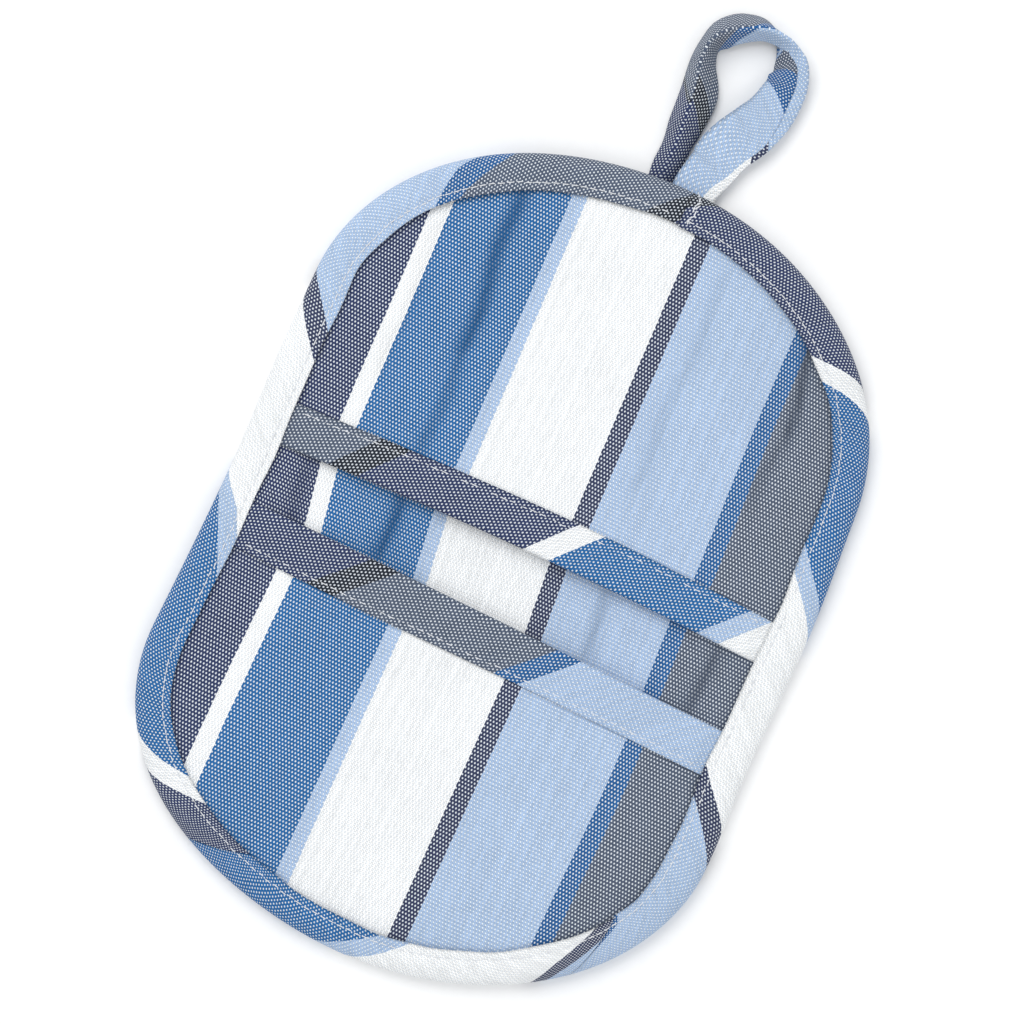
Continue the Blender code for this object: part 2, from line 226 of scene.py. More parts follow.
def makeMesh(name, points, quads, corners, finish, subdivide=0, marks=None):
    # one mesh from points, four-sided faces and one or two UV pairs per face corner, turned right side out
    a, b, c, d = (points[quads[:, k]] for k in range(4))
    volume = (np.einsum("ij,ij->i", a, np.cross(b, c)) + np.einsum("ij,ij->i", a, np.cross(c, d))).sum()
    if volume < 0:
        quads, corners = quads[:, ::-1], corners[:, ::-1]
    made, mesh = meshObject(name, points.tolist(), quads.tolist())
    for k, title in enumerate(("cloth", "stripe")[:corners.shape[-1] // 2]):
        layer = mesh.uv_layers.new(name=title)
        pair = corners[..., 2 * k:2 * k + 2]
        layer.data.foreach_set("uv", np.ascontiguousarray(pair, dtype=np.float32).ravel())
    if marks is not None:
        mark = mesh.attributes.new("crease", "FLOAT", "POINT")
        mark.data.foreach_set("value", np.ascontiguousarray(marks, dtype=np.float32))
    mesh.materials.append(finish)
    mesh.polygons.foreach_set("use_smooth", np.ones(len(mesh.polygons), bool))
    mesh.update()
    if subdivide:
        refine = made.modifiers.new("refine", "SUBSURF")
        refine.levels = refine.render_levels = subdivide
        refine.boundary_smooth = "PRESERVE_CORNERS"
        refine.uv_smooth = "NONE"
    return made


def shell(name, outer, inner, outerUv, innerUv, finish, subdivide=0, marks=None):
    # a closed piece between two grids of the same size: outer face, inner face, and walls round the rim
    rows, columns = outer.shape[:2]
    count = rows * columns
    points = np.concatenate([outer.reshape(-1, 3), inner.reshape(-1, 3)])
    uvs = np.concatenate([outerUv.reshape(count, -1), innerUv.reshape(count, -1)])
    face = gridQuads(rows, columns)
    index = np.arange(count).reshape(rows, columns)
    walls = []
    for edge in (index[0, ::-1], index[-1], index[:, 0], index[::-1, -1]):
        walls.append(np.stack([edge[:-1], edge[1:], edge[1:] + count, edge[:-1] + count], axis=1))
    quads = np.concatenate([face, face[:, ::-1] + count] + [w[:, ::-1] for w in walls])
    if marks is not None:
        marks = np.concatenate([marks.ravel(), np.zeros(count)])
    return makeMesh(name, handMade(points), quads, uvs[quads], finish, subdivide, marks)


def unit(vectors):
    # each vector divided by its length
    return vectors / np.maximum(np.linalg.norm(vectors, axis=-1, keepdims=True), 1e-12)


def gridNormals(points):
    # cross product of the grid's two directions at every point
    return unit(np.cross(np.gradient(points, axis=1), np.gradient(points, axis=0)))


def thicken(middle, amount):
    # the grid moved half the thickness along its normals to either side
    normal = gridNormals(middle)
    half = np.asarray(amount)[..., None] / 2 if np.ndim(amount) else amount / 2
    return middle + normal * half, middle - normal * half


def ovalGrid(side, inset, columns, spacing=2.1 * mm, lastAngle=86):
    # rows across the oval from a pocket's mouth, or from end to end of the pad, columns a share of the width
    angle = np.radians(np.linspace(0, lastAngle, 46))
    upperEnd = topCentre + (endDepth - inset) * np.sin(angle)
    lowerEnd = bottomCentre - (endDepth - inset) * np.sin(angle)
    width = (halfWidth - inset) * np.cos(angle)
    share = np.linspace(-1, 1, columns)
    if side == "pad":
        straight = np.linspace(bottomCentre, topCentre, int((topCentre - bottomCentre) / spacing))[1:-1]
        y = np.concatenate([lowerEnd[::-1], straight, upperEnd])
        w = np.concatenate([width[::-1], np.full(len(straight), width[0]), width])
        return w[:, None] * share, np.repeat(y[:, None], columns, axis=1)
    end, centre = (upperEnd, topCentre) if side == "upper" else (lowerEnd, bottomCentre)
    start = mouths[side]["middle"]
    straight = np.linspace(start, centre, int(abs(centre - start) / spacing))[:-1]
    y = np.concatenate([straight, end])
    w = np.concatenate([np.full(len(straight), width[0]), width])
    x = w[:, None] * share
    fade = np.clip(1 - np.abs(y - start) / (45 * mm), 0, 1)[:, None]
    return x, y[:, None] + (mouthLine(side, x) - start) * fade


def settle(points, quads, rest, held, frames=16, stiffness=12.0, bending=0.25):
    # cloth simulation of an open sheet: cut to the rest shape, held where the weight is 1,
    # no gravity; returns where the points come to rest
    sheet, mesh = meshObject("settling", points.tolist(), quads.tolist())
    sheet.shape_key_add(name="sewn")
    cut = sheet.shape_key_add(name="cut")
    cut.data.foreach_set("co", rest.astype(np.float32).ravel())
    group = sheet.vertex_groups.new(name="held")
    for level in np.unique(np.round(held, 1)):
        group.add(np.nonzero(np.round(held, 1) == level)[0].tolist(), float(level), "REPLACE")
    cloth = sheet.modifiers.new("cloth", "CLOTH")
    use = cloth.settings
    use.quality, use.mass = 6, 0.12
    use.tension_stiffness = use.compression_stiffness = stiffness
    use.shear_stiffness, use.bending_stiffness = stiffness / 2, bending
    use.tension_damping = use.compression_damping = use.shear_damping = 12
    use.air_damping = 2
    use.vertex_group_mass = "held"
    use.rest_shape_key = cut
    use.effector_weights.gravity = 0
    cloth.point_cache.frame_start, cloth.point_cache.frame_end = 1, frames
    scene = bpy.context.scene
    for step in range(1, frames + 1):
        scene.frame_set(step)
    done = sheet.evaluated_get(bpy.context.evaluated_depsgraph_get()).to_mesh()
    result = np.zeros(len(points) * 3, np.float32)
    done.vertices.foreach_get("co", result)
    bpy.data.objects.remove(sheet)
    bpy.data.meshes.remove(mesh)
    scene.frame_set(1)
    return result.reshape(-1, 3).astype(float)


def capped(moved, start, most):
    # each point's move shortened to at most so much
    step = moved - start
    length = np.linalg.norm(step, axis=-1, keepdims=True)
    return start + step * np.minimum(1, most / np.maximum(length, 1e-9))


def relaxed(face, free, stretch, ripple, most):
    # the face as cloth cut larger than its place and given a start of ripples, where it is free to move
    flat = face.reshape(-1, 3)
    points = flat.copy()
    points[:, 2] += (ripple * free).ravel()
    moved = settle(points, gridQuads(*face.shape[:2]), flat * stretch, 1 - free.ravel())
    moved = capped(moved, flat, most).reshape(face.shape)
    return moved * free[..., None] + face * (1 - free[..., None])


def feed(tree, socket, value):
    # links another socket to this one, or sets a plain value on it
    if isinstance(value, bpy.types.NodeSocket):
        tree.links.new(value, socket)
    else:
        socket.default_value = value


def addNode(tree, kind, settings=None, **sockets):
    # a shader node with its settings; each socket is given by its name, or by _ and its number
    node = tree.nodes.new("ShaderNode" + kind)
    for key, value in (settings or {}).items():
        setattr(node, key, value)
    for key, value in sockets.items():
        feed(tree, node.inputs[int(key[1:]) if key[0] == "_" else key.replace("_", " ")], value)
    return node


def calc(tree, operation, *values, clamp=False):
    # one step of arithmetic
    return addNode(tree, "Math", {"operation": operation, "use_clamp": clamp},
                   **{f"_{k}": v for k, v in enumerate(values)}).outputs[0]


def times(tree, first, second):
    return calc(tree, "MULTIPLY", first, second)


def plus(tree, first, second):
    return calc(tree, "ADD", first, second)


def scaled(tree, value, scale, start):
    # value * scale + start
    return calc(tree, "MULTIPLY_ADD", value, scale, start)


def remap(tree, value, *limits, kind="LINEAR"):
    # the value's place between the first two limits, carried to between the last two, or 0 and 1
    return addNode(tree, "MapRange", {"interpolation_type": kind}, Value=value,
                   **{f"_{k + 1}": v for k, v in enumerate(limits)}).outputs[0]


def separate(tree, vector):
    # a vector's three parts
    return addNode(tree, "SeparateXYZ", _0=vector).outputs


def newGroup(name, inputs, outputs):
    # a shader node group with named sockets; returns its tree, its inputs and a function that sets an output
    tree = bpy.data.node_groups.new(name, "ShaderNodeTree")
    kinds = {"v": "NodeSocketVector", "f": "NodeSocketFloat", "c": "NodeSocketColor"}
    for key, (kind, value) in inputs.items():
        socket = tree.interface.new_socket(key, in_out="INPUT", socket_type=kinds[kind])
        if value is not None:
            socket.default_value = value
    for key, kind in outputs.items():
        tree.interface.new_socket(key, in_out="OUTPUT", socket_type=kinds[kind])
    given = tree.nodes.new("NodeGroupInput").outputs
    result = tree.nodes.new("NodeGroupOutput").inputs
    return tree, given, lambda key, value: tree.links.new(value, result[key])


def groupNode(tree, group, **sockets):
    # a node group placed in a tree; returns its outputs
    return addNode(tree, "Group", {"node_tree": group}, **sockets).outputs


def srgb(red, green, blue):
    # 0 to 255 display values to linear light
    values = [v / 255 for v in (red, green, blue)]
    return tuple(v / 12.92 if v <= 0.04045 else ((v + 0.055) / 1.055) ** 2.4 for v in values) + (1.0,)


def buildPlainWeave():
    # over-and-under yarns: weft height is a sine along x that flips each row, warp height a sine along y
    # that flips each column, each with a rounded back; whichever is higher shows
    tree, given, give = newGroup(
        "plainWeave",
        {"Place": ("v", None), "Warp Pitch": ("f", 0.00049), "Weft Pitch": ("f", 0.0011),
         "Weft Size": ("f", 0.0), "Wobble": ("f", 0.00025)},
        {"Weft": "f", "Height": "f", "Warp Number": "f", "Warp Place": "f", "Own": "f", "Edge": "f"})

    def vector(operation, **values):
        return addNode(tree, "VectorMath", {"operation": operation}, **values).outputs[0]

    def rounded(value, breadth):
        # cosine over one yarn, 1 on its crest and lower at its sides
        middle = calc(tree, "SUBTRACT", calc(tree, "FRACT", value), 0.5)
        return calc(tree, "COSINE", times(tree, middle, math.pi * breadth))

    def wave(along, number):
        # sine along a yarn, turned over from each yarn to the next
        return calc(tree, "SINE", times(tree, plus(tree, along, number), math.pi))

    wobble = addNode(tree, "TexNoise", {"noise_dimensions": "2D"}, Vector=given["Place"], Scale=190.0,
                     Detail=3.0, Roughness=0.65)
    shift = vector("SUBTRACT", _0=wobble.outputs["Color"], _1=(0.5, 0.5, 0.5))
    shift = vector("SCALE", _0=shift, Scale=given["Wobble"])
    split = separate(tree, vector("ADD", _0=given["Place"], _1=shift))
    a = calc(tree, "DIVIDE", split[0], given["Warp Pitch"])
    b = calc(tree, "DIVIDE", split[1], given["Weft Pitch"])
    i, j = calc(tree, "FLOOR", a), calc(tree, "FLOOR", b)
    # each crossing is a little larger or smaller than the next
    cell = addNode(tree, "CombineXYZ", _0=i, _1=j).outputs[0]
    own = addNode(tree, "TexWhiteNoise", {"noise_dimensions": "2D"}, Vector=cell).outputs["Value"]
    weft = scaled(tree, wave(a, j), 1.2, times(tree, rounded(b, 1.0), 1.65))
    weft = plus(tree, weft, given["Weft Size"])
    weft = plus(tree, weft, times(tree, calc(tree, "SUBTRACT", own, 0.5), 0.34))
    warp = scaled(tree, wave(b, i), -0.55, times(tree, rounded(a, 0.7), 0.9))
    gap = calc(tree, "SUBTRACT", weft, warp)
    give("Weft", remap(tree, gap, -0.3, 0.34, kind="SMOOTHSTEP"))
    give("Height", calc(tree, "SMOOTH_MAX", weft, warp, 0.15))
    give("Warp Number", i)
    give("Own", own)
    # painted shade: darker where one yarn dives under the other
    give("Edge", remap(tree, calc(tree, "ABSOLUTE", gap), 0.0, 0.6, 0.70, 1.0))
    give("Warp Place", times(tree, plus(tree, i, 0.5), given["Warp Pitch"]))
    return tree


def buildYarnStripes(order, period):
    # the warp's colours across the cloth: a stepped ramp over one repeat, with each yarn a touch its own shade
    tree, given, give = newGroup(
        "yarnStripes", {"Across": ("f", 0.0), "Along": ("f", 0.0), "Number": ("f", 0.0)}, {"Color": "c"})
    share = calc(tree, "FRACT", calc(tree, "DIVIDE", given["Across"], period))
    ramp = addNode(tree, "ValToRGB", Fac=share)
    ramp.color_ramp.interpolation = "CONSTANT"
    at = 0.0
    steps = ramp.color_ramp.elements
    for k, (colour, width) in enumerate(order):
        step = steps[0] if k == 0 else (steps[1] if k == 1 else steps.new(at / period))
        step.position, step.color = at / period, colour
        at += width
    own = addNode(tree, "TexWhiteNoise", {"noise_dimensions": "1D"}, W=given["Number"]).outputs["Value"]
    streak = addNode(tree, "CombineXYZ", _0=times(tree, given["Number"], 3.7),
                     _1=times(tree, given["Along"], 260.0)).outputs[0]
    slub = addNode(tree, "TexNoise", {"noise_dimensions": "2D"}, Vector=streak, Scale=1.0, Detail=2.0)
    value = plus(tree, times(tree, own, 0.12), times(tree, slub.outputs["Fac"], 0.30))
    value = plus(tree, value, 0.79)
    tone = addNode(tree, "HueSaturation", Value=value, Color=ramp.outputs["Color"])
    give("Color", tone.outputs[0])
    return tree


def buildWear():
    # soft uneven tone of washed cotton, and fine lint that catches the light
    tree, given, give = newGroup(
        "washedTone", {"Place": ("v", None), "Color": ("c", None), "Amount": ("f", 0.05)},
        {"Color": "c", "Lint": "f"})
    wide = addNode(tree, "TexNoise", Vector=given["Place"], Scale=38.0, Detail=3.0, Roughness=0.6)
    fine = addNode(tree, "TexNoise", Vector=given["Place"], Scale=2600.0, Detail=2.0, Roughness=0.7)
    centred = calc(tree, "SUBTRACT", wide.outputs["Fac"], 0.5)
    grain = times(tree, calc(tree, "SUBTRACT", fine.outputs["Fac"], 0.5), 0.25)
    change = scaled(tree, plus(tree, centred, grain), given["Amount"], 1.0)
    tone = addNode(tree, "HueSaturation", Value=change, Color=given["Color"])
    give("Color", tone.outputs[0])
    give("Lint", fine.outputs["Fac"])
    return tree


navy, navyNarrow = srgb(50, 61, 98), srgb(54, 62, 92)
blue, blueNarrow = srgb(38, 102, 162), srgb(38, 94, 152)
paleBlue, white = srgb(166, 190, 222), srgb(249, 250, 250)
grey, black = srgb(82, 93, 113), srgb(38, 44, 56)
stripeOrder = [(navy, 34.5), (white, 5.1), (blue, 31.5), (paleBlue, 4.4), (white, 32.1), (navyNarrow, 5.2),
               (paleBlue, 34.7), (blueNarrow, 5.1), (grey, 34.5), (black, 6.7)]
stripePeriod = sum(width for _, width in stripeOrder) * mm
stripeOrder = [(colour, width * mm) for colour, width in stripeOrder]
weaveGroup = buildPlainWeave()
stripeGroup = buildYarnStripes(stripeOrder, stripePeriod)
wearGroup = buildWear()


def startFinish(name):
    # a new material: itself, its tree and its shader
    finish = bpy.data.materials.new(name)
    finish.use_nodes = True
    return finish, finish.node_tree, finish.node_tree.nodes["Principled BSDF"]


def uvPlace(tree, title="cloth"):
    # the place by the UV map of that name, in metres
    return addNode(tree, "UVMap", {"uv_map": title}).outputs[0]


def wornColour(tree, shader, place, value, colour, uneven):
    # the colour, its brightness times value, with the washed tone over it; returns the lint
    shade = addNode(tree, "HueSaturation", Value=value, Color=colour)
    worn = groupNode(tree, wearGroup, Place=place, Color=shade.outputs[0], Amount=uneven)
    feed(tree, shader.inputs["Base Color"], worn["Color"])
    return worn["Lint"]


def raised(tree, shader, strength, distance, height):
    # the height as a bump
    bump = addNode(tree, "Bump", Strength=strength, Distance=distance, Height=height)
    feed(tree, shader.inputs["Normal"], bump.outputs[0])


def mixed(tree, share, first, second):
    # share of the second colour over the first; sockets 6 and 7 are the node's two colours
    return addNode(tree, "Mix", {"data_type": "RGBA"}, _0=share, _6=first, _7=second).outputs[2]


def stripedCotton(name, look):
    # striped warp under a white weft; a tape's stripes lie by its UV named stripe, others by the cloth's own
    finish, tree, shader = startFinish(name)
    place = uvPlace(tree)
    weave = groupNode(tree, weaveGroup, Place=place, Weft_Size=look["weftSize"], Wobble=look["wobble"])
    across = weave["Warp Place"]
    if look["tape"]:
        across = separate(tree, uvPlace(tree, "stripe"))[0]
    warp = groupNode(tree, stripeGroup, Across=across, Along=separate(tree, place)[1],
                     Number=weave["Warp Number"])["Color"]
    # the white weft lets a little of the warp through, each crossing by its own amount; in creases the white dots are
    # hidden and the colour is darker, painted shade in the crease
    fold = addNode(tree, "Attribute", {"attribute_name": "crease"}).outputs["Fac"]
    through = scaled(tree, weave["Own"], look["through"], 0.06)
    dot = mixed(tree, through, look["weft"], warp)
    shown = calc(tree, "MULTIPLY", weave["Weft"], scaled(tree, fold, -0.75, 1.0), clamp=True)
    # painted shade: the colour darker where the weave lies low between the yarns and a touch brighter on the crests,
    # darker again where yarns cross under and in creases
    depth = remap(tree, weave["Height"], 0.1, 1.1, look["recessShade"], 1.03)
    paintedShade = times(tree, times(tree, depth, weave["Edge"]), scaled(tree, fold, -0.34, 1.0))
    lint = wornColour(tree, shader, place, paintedShade, mixed(tree, shown, warp, dot), look["uneven"])
    feed(tree, shader.inputs["Roughness"], scaled(tree, lint, 0.16, look["roughness"]))
    raised(tree, shader, look["bump"], 0.00022, scaled(tree, lint, 0.10, weave["Height"]))
    for socket, value in (("Sheen Weight", 0.03), ("Sheen Roughness", 0.5), ("Specular IOR Level", 0.12)):
        shader.inputs[socket].default_value = value
    return finish


cottonLook = {
    "weftSize": -1.52, "weft": srgb(242, 248, 254), "through": 0.22,      # the white dots: size, colour, warp showing
    # painted shade: the weave's low places go down to 0.74 of the colour's brightness
    "wobble": 0.00036, "recessShade": 0.74, "uneven": 0.16, "roughness": 0.78, "bump": 0.6, "tape": False,
}
tapeLook = {**cottonLook, "tape": True, "weftSize": -1.56, "bump": 0.65}
pocketCotton = stripedCotton("stripedCottonPocket", cottonLook)
padCotton = stripedCotton("stripedCottonPad", {**cottonLook, "uneven": 0.2})
tapeCotton = stripedCotton("stripedCottonTape", tapeLook)
loopCotton = stripedCotton("stripedCottonLoop", {**tapeLook, "weftSize": -1.58})


def plainCotton(name, colour, pitch):
    # one colour of fine plain-woven cotton, for the linings
    finish, tree, shader = startFinish(name)
    place = uvPlace(tree)
    height = groupNode(tree, weaveGroup, Place=place, Warp_Pitch=pitch, Weft_Pitch=pitch, Weft_Size=-0.75,
                       Wobble=0.0001)["Height"]
    # painted shade: the colour darker where the weave lies low between the yarns
    lint = wornColour(tree, shader, place, remap(tree, height, 0.15, 1.1, 0.8, 1.0), colour, 0.08)
    raised(tree, shader, 0.5, 0.0001, height)
    feed(tree, shader.inputs["Roughness"], scaled(tree, lint, 0.1, 0.8))
    return finish


liningCotton = plainCotton("liningCotton", srgb(240, 240, 236), 0.0005)


def buildThreadFinish(name, colour):
    # twisted sewing thread: slanting plies across its own UV, 9000 radians to the metre each way
    finish, tree, shader = startFinish(name)
    place = uvPlace(tree)
    split = separate(tree, place)
    turn = plus(tree, times(tree, split[0], 9000.0), times(tree, split[1], 9000.0))
    ply = scaled(tree, calc(tree, "SINE", turn), 0.5, 0.5)
    # painted shade: the thread darker in the grooves between the plies, where the bump is low
    wornColour(tree, shader, place, scaled(tree, ply, 0.2, 0.8), colour, 0.1)
    raised(tree, shader, 0.5, 0.00008, ply)
    shader.inputs["Roughness"].default_value = 0.55
    return finish


threadCotton = buildThreadFinish("whiteThread", srgb(232, 234, 238))
print("materials made")


padShape = {
    "columns": 81, "inset": 1.4 * mm, "held": 12.5 * mm, "most": 1.3 * mm,
    "start": 97.3 * mm,            # where across the cloth x = 0 falls, on the front
    "extra": 0.012,                # how much wider the cloth is cut than its place
    "askew": 0.10, "askewMost": 30 * mm, "spread": 0.017,    # how the stripes lean in the open strip
    "creases": [
        # from (x, y) and to (x, y) in mm, depth and width in mm, how strongly it shows as painted shade with hidden
        # white dots
        ((-37.5, 10), (-36.8, -9), 0.9, 1.9, 1.0),
        ((29.5, 9), (30.5, -10), 0.6, 1.6, 0.7),
        ((64.0, 8), (64.8, -12), 0.6, 1.6, 0.7),
        ((-66.0, 8), (-64.0, -12), 0.4, 1.8, 0.4),
    ],
}


def stripeUv(x, y, start, tilt=0.0):
    # u = place across the cloth at x, sheared by the tilt along y; v = y
    return np.stack([x + start + tilt * y, y], axis=-1)


def creased(x, y, creases):
    # each crease is a shallow groove: -depth * exp(-(distance/width)^2), fading at its two ends; also how strongly it
    # is painted in the cloth as painted shade with hidden white dots, 0 to 1
    total, shown = np.zeros(np.shape(x)), np.zeros(np.shape(x))
    for (x0, y0), (x1, y1), depth, width, strength in creases:
        length = math.hypot(x1 - x0, y1 - y0)
        along = ((x - x0 * mm) * (x1 - x0) + (y - y0 * mm) * (y1 - y0)) / length
        off = ((x - x0 * mm) * (y1 - y0) - (y - y0 * mm) * (x1 - x0)) / length
        span = smooth(-6 * mm, 4 * mm, along) * (1 - smooth((length - 4) * mm, (length + 6) * mm, along))
        groove = bell(off + 0.7 * mm * np.sin(along / (5.5 * mm) + x0), width * mm) * span
        total -= depth * mm * groove
        shown = np.maximum(shown, strength * groove)
    return total, shown


def buildPad():
    look = padShape
    x, y = ovalGrid("pad", look["inset"], look["columns"])
    free = smooth(look["held"], look["held"] + 6 * mm, insetOf(x, y))
    top, under = (
        relaxed(np.stack([x, y, height(x, y)], axis=-1), free, (1 + look["extra"], 1, 1),
                0.15 * mm * wander(seed, 14 * mm, x, y), look["most"])
        for height, seed in ((padTop, 3), (padBottom, 4)))
    grooves, marks = creased(x, y, look["creases"])
    top[..., 2] += grooves
    top[..., 2] += 0.12 * mm * wander(8, 9 * mm, x, y * 0.3) * free
    under[..., 2] += 0.35 * mm + 0.3 * mm * wander(9, 16 * mm, x, y * 0.4) * free
    under[..., 2] = np.maximum(under[..., 2], 0.02 * mm)      # not through the floor
    # the open strip is pulled askew, most at its left end
    front = stripeUv(x, y, look["start"], look["askew"] - 1.3 * np.minimum(x, look["askewMost"]))
    front[..., 0] += look["spread"] * x
    back = stripeUv(-x, y, look["start"] + 31 * mm)
    pad = shell("pad", top, under, front, back, padCotton, subdivide=1, marks=marks)
    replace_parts(pad, *[f"{layer}_{part}" for layer in ("back_cloth", "wadding", "front_cloth")
                       for part in ("upper", "fold", "lower")])
    return pad


pad = buildPad()
print("pad made")


pocketShape = {
    "columns": 81, "inset": 1.6 * mm, "held": 12.5 * mm, "extra": 0.014, "most": 1.1 * mm,
    "liningGap": 0.75 * mm,      # from the middle of the cloth to the middle of its lining
    "upper": {"start": 97.2 * mm, "tilt": 0.021, "seed": 21, "creases": [
        ((-42.5, 105), (-38.5, 55), 0.6, 2.1, 1.0),
        ((-38.8, 58), (-37.2, 24), 0.3, 2.2, 0.5),
        ((54.5, 101), (59.0, 72), 0.5, 1.5, 0.9),
        ((59.0, 74), (56.0, 50), 0.3, 1.8, 0.4),
        ((22.5, 108), (23.0, 40), 0.2, 2.4, 0.35),
        ((-60.0, 90), (-58.0, 40), 0.2, 2.4, 0.3),
    ]},
    "lower": {"start": 96.4 * mm, "tilt": 0.0, "seed": 22, "creases": [
        ((30.5, -46), (30.0, -92), 0.3, 2.0, 0.5),
        ((62.0, -30), (61.0, -78), 0.3, 2.0, 0.4),
        ((-44.0, -36), (-42.0, -80), 0.25, 2.6, 0.35),
    ]},
}


def buildPocket(side):
    look = pocketShape[side]
    x, y = ovalGrid(side, pocketShape["inset"], pocketShape["columns"])
    fromMouth = np.abs(y - mouthLine(side, x))
    below = (1.15 + 1.0 * (1 - smooth(14 * mm, 22 * mm, fromMouth))) * mm
    height = tucked(x, y, pocketTop(side, x, y) - thickness["cloth"] / 2, below)
    held, band, extra = pocketShape["held"], mouths[side]["band"], pocketShape["extra"]
    free = smooth(held, held + 7 * mm, insetOf(x, y)) * smooth(band, band + 8 * mm, fromMouth)
    face = relaxed(np.stack([x, y, height], axis=-1), free, (1 + extra, 1 + extra * 0.3, 1),
                   0.2 * mm * wander(look["seed"], 13 * mm, x, y * 0.35), pocketShape["most"])
    grooves, marks = creased(x, y, look["creases"])
    face[..., 2] += grooves
    uv = stripeUv(x, y, look["start"], look["tilt"])
    cloth = shell(f"{side}PocketCloth", *thicken(face, thickness["cloth"]), uv, uv, pocketCotton, subdivide=1,
                  marks=marks)
    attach(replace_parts(cloth, f"{side}_pocket_cloth"), f"{side}_half")
    lined = face - np.array([0, 0, pocketShape["liningGap"]])
    uv = np.stack([x, y], axis=-1)
    lining = shell(f"{side}PocketLining", *thicken(lined, thickness["cloth"]), uv, uv, liningCotton)
    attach(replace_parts(lining, f"{side}_pocket_lining"), f"{side}_half")
    return cloth, lining


pockets = {side: buildPocket(side) for side in ("upper", "lower")}
print("pockets made")


def tapeShell(name, middle, uv, amount, finish):
    # a tape from the grid of its middle surface (along x across), its two long edges thinner and rounded:
    # thickness times 0.45 + 0.55 * sqrt(share of the outer 3 per cent)
    across = np.linspace(0, 1, middle.shape[1])
    edge = np.clip(np.minimum(across, 1 - across) / 0.03, 0, 1)
    outer, inner = thicken(middle, amount * (0.45 + 0.55 * np.sqrt(edge))[None, :] * np.ones(middle.shape[:2]))
    return shell(name, outer, inner, uv, uv, finish)


def biasUv(along, across, stripe):
    # bias tape: the cloth's own directions lie at 45 degrees to it; its stripes are placed apart
    root = math.sqrt(2)
    return np.stack([(along + across) / root, (along - across) / root, stripe, 0 * stripe], axis=-1)


bandShape = {
    "steps": 150, "tuck": 2.0 * mm, "lift": 0.55 * mm, "turnRadius": 1.05 * mm,
    "stitchInset": 2.0 * mm, "stitchLength": 2.5 * mm, "stitchGap": 0.6 * mm, "stitchReach": 13 * mm,
    # place across the cloth: at the middle of the tape's inner edge, then per metre along and across the tape
    "upper": {"stripe": 26.2 * mm, "along": 0.655, "across": 0.60, "until": 90 * mm, "seed": 31, "way": 1},
    "lower": {"stripe": 158.3 * mm, "along": -0.677, "across": 0.69, "until": 58 * mm, "seed": 32, "way": -1},
}


def bandWidth(side, x):
    # the band's width, 2 per cent wider and narrower along it as a sine
    return mouths[side]["band"] * (1 + 0.02 * np.sin(x / (23 * mm) + (1 if side == "upper" else 3)))


def bandTop(side, x, inwards):
    # the point on the band's upper face, so far in from the mouth's edge
    y = mouthLine(side, x) + bandShape[side]["way"] * inwards
    return np.stack([x, y, pocketTop(side, x, y) + 0.75 * mm], axis=-1)


def buildBand(side):
    # across the tape: on top from its inner edge to the mouth, half a turn round the mouth, back underneath
    look, way, lift = bandShape[side], bandShape[side]["way"], bandShape["lift"]
    reach = halfWidth - bandShape["tuck"]
    x = np.linspace(-reach, reach, bandShape["steps"])[:, None]
    width = bandWidth(side, x)
    top = np.linspace(1, 0.04, 16)[None, :]
    turn = np.radians(np.linspace(0, 180, 9))[None, 1:-1]
    below = np.linspace(0.04, 0.96, 12)[None, :]

    def zones(onTop, around, underneath):
        # a row across the tape from what its three zones are given
        return np.concatenate([onTop + 0 * top, around + 0 * turn, underneath + 0 * below], axis=1)

    inwards = np.concatenate([width * top, 0.5 * mm - 0.9 * mm * np.sin(turn) + 0 * x, width * below], axis=1)
    xs = x + np.zeros_like(inwards)
    y = mouthLine(side, xs) + way * inwards
    surface = pocketTop(side, xs, mouthLine(side, xs) + way * np.abs(inwards))
    height = zones(lift, lift - bandShape["turnRadius"] * (1 - np.cos(turn)), lift - 2 * bandShape["turnRadius"])
    ripple = 0.10 * mm * wander(look["seed"], 7 * mm, xs, inwards * 0.4)
    stitchLine = bell(inwards - width + bandShape["stitchInset"], 0.9 * mm)
    pucker = 1 + 0.5 * np.sin(xs * 2 * math.pi / (3.1 * mm))
    onTop = zones(1, 0, 0)
    z = surface + height + onTop * (ripple - 0.22 * mm * stitchLine * pucker)
    z = z + onTop * 0.12 * mm * bell(inwards - width, 0.8 * mm)
    z = tucked(xs, y, z, 1.35 * mm + 1.6 * mm * zones(0, (1 - np.cos(turn)) / 2, 1))
    middle = np.stack([xs, y, z], axis=-1)
    across = runningLength(middle)
    stripe = look["stripe"] + look["along"] * np.minimum(xs, look["until"]) + look["across"] * across
    band = tapeShell(f"{side}PocketBand", middle, biasUv(xs, way * across, stripe), thickness["tape"], tapeCotton)
    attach(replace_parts(band, f"{side}_pocket_band"), f"{side}_half")
    return band


bands = {side: buildBand(side) for side in ("upper", "lower")}


def outlineTable():
    # the outline clockwise from the join beside the loop: distances round the edge and points (x, y)
    def end(first, last, count, centre):
        # part of a rounded end: a half ellipse, from one bearing to another in degrees
        a = np.radians(np.linspace(first, last, count))
        return np.stack([halfWidth * np.cos(a), centre + endDepth * np.sin(a)], axis=1)

    def straight(x, first, last):
        return np.stack([np.full(120, x), np.linspace(first, last, 120)], axis=1)

    points = np.concatenate([
        end(88, 0, 300, topCentre), straight(halfWidth, topCentre, bottomCentre),
        end(0, -180, 600, bottomCentre), straight(-halfWidth, bottomCentre, topCentre),
        end(180, 88, 300, topCentre)])
    points = points[np.concatenate([[True], np.linalg.norm(np.diff(points, axis=0), axis=1) > 1e-7])]
    return runningLength(points), points


outlineS, outlineXy = outlineTable()
roundLength = outlineS[-1]


